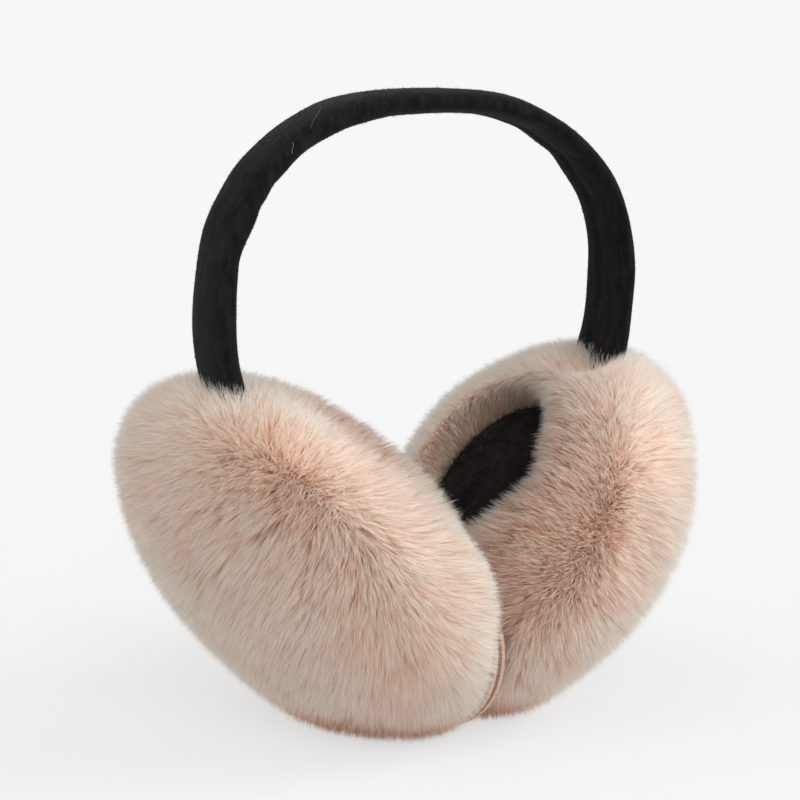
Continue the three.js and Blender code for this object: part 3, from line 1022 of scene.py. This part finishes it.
def bandPoint(at, turn):
    # Points of the band's face, for shares along it and angles round it
    centre = bandCentre(at)
    step = bandShape["tangentStep"]
    tangent = unit(bandCentre(np.minimum(at + step, 1)) - bandCentre(np.maximum(at - step, 0)))
    outer = np.stack([-tangent[..., 1], tangent[..., 0]], -1)
    power = 2 / bandShape["section"]
    across = bandShape["width"] / 2 * np.sign(np.cos(turn)) * np.abs(np.cos(turn)) ** power
    outwards = bandShape["thickness"] / 2 * np.sign(np.sin(turn)) * np.abs(np.sin(turn)) ** power
    inner = smoothStep(-outwards, 0.0, bandShape["innerBlend"])
    fold = sum(f["depth"] * hump(at, f["at"], f["length"]) for f in bandFolds)
    seam = bandShape["seamDepth"] * hump(across, bandShape["seamSetBack"], bandShape["seamWidth"])
    flare = bandShape["flare"] * smoothStep(np.abs(at - 0.5), bandShape["flareFrom"], bandShape["flareTo"])
    swell = sum(s["rise"] * hump(at, s["at"], s["length"]) for s in bandSwells)
    outwards = outwards + inner * (bandShape["thickness"] * fold + seam - flare) + (1 - inner) * swell
    flat = np.stack([centre[..., 0] + outer[..., 0] * outwards, across,
                     centre[..., 1] + outer[..., 1] * outwards], -1)
    lean = math.radians(bandShape["lean"])
    c, s = math.cos(lean), math.sin(lean)
    y = flat[..., 1] * c - (flat[..., 2] - cupCentre[2]) * s
    z = flat[..., 1] * s + (flat[..., 2] - cupCentre[2]) * c + cupCentre[2]
    return np.stack([flat[..., 0], y + bandShape["centreY"], z], -1)


def velvetPoint(at, turn):
    smooth = bandPoint(at, turn)
    points = smooth
    for wave in crumples:
        points = points + slowField(smooth, wave["reach"], wave["seed"]) * wave["size"]
    return points


def bandPiece():
    at = np.linspace(0, 1, bandShape["stations"])[:, None]
    turn = (np.arange(bandShape["corners"]) * 2 * math.pi / bandShape["corners"])[None]
    at, turn = np.broadcast_arrays(at, turn)
    points = velvetPoint(at, turn)
    points = np.concatenate([closeRing(points[0])[None], points, closeRing(points[-1])[None]])
    mesh = meshFromFaces("velvet_band", points, ringFaces(len(points), bandShape["corners"], True))
    band = linkObject("velvet_band", mesh, velvet)
    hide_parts("headband")


def bandNap():
    random = np.random.default_rng(bandShape["napSeed"])
    count = bandShape["napCount"]
    at = random.random(count) * bandShape["napSpan"] + bandShape["napFrom"]
    turn = random.random(count) * 2 * math.pi
    root = velvetPoint(at, turn)
    middle = velvetPoint(at, turn + math.pi)
    way = unit(unit(root - middle) + random.normal(size=(count, 3)) * bandShape["napScatter"])
    length = bandShape["napShortest"] + bandShape["napSpread"] * random.random(count)
    tip = root + way * (bandShape["napLength"] * length)[:, None]
    spine = np.stack([root, tip], 1)
    widths = np.full((count, 1), bandShape["napWidth"])
    nap = ribbonMesh("velvet_nap", spine, widths, random.random(count), [0.0, 1.0], random)
    linkObject("velvet_nap", nap, velvet)


def lintPiece():
    t = np.linspace(0, 1, lintShape["steps"])
    spines = []
    for hair in lintFibres:
        at = lerp(hair["from"][0], hair["to"][0], t) + hair["sway"] * np.sin(t * 2 * math.pi)
        turn = np.radians(lerp(hair["from"][1], hair["to"][1], t))
        outside = bandPoint(at, turn)
        spines.append(outside + unit(outside - bandPoint(at, turn + math.pi)) * lintShape["lift"])
    spine = np.array(spines)
    widths = np.full((len(spine), lintShape["steps"] - 1), lintShape["width"])
    random = np.random.default_rng(lintShape["seed"])
    mesh = ribbonMesh("velvet_lint", spine, widths, np.ones(len(spine)), t, random)
    linkObject("velvet_lint", mesh, fibre)


makeCamera()
makeStudio()
print("studio ready")

fur = furMaterial()
backing = backingMaterial()
velvet = velvetMaterial("black_velvet", velvetFinish)
plush = velvetMaterial("black_plush", plushFinish)
welt = weltMaterial()
fibre = fibreMaterial()
print("materials ready")

bandPiece()
bandNap()
lintPiece()
print("headband ready")

for side, seed in sideSeeds.items():
    furCore(side)
    furPieces(side, seed)
    padPiece(side)
    padNap(side, seed + earPad["seed"])
    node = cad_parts[f"{side}_welt"]
    node.data.materials.clear()
    node.data.materials.append(welt)
    print(side, "cup ready")
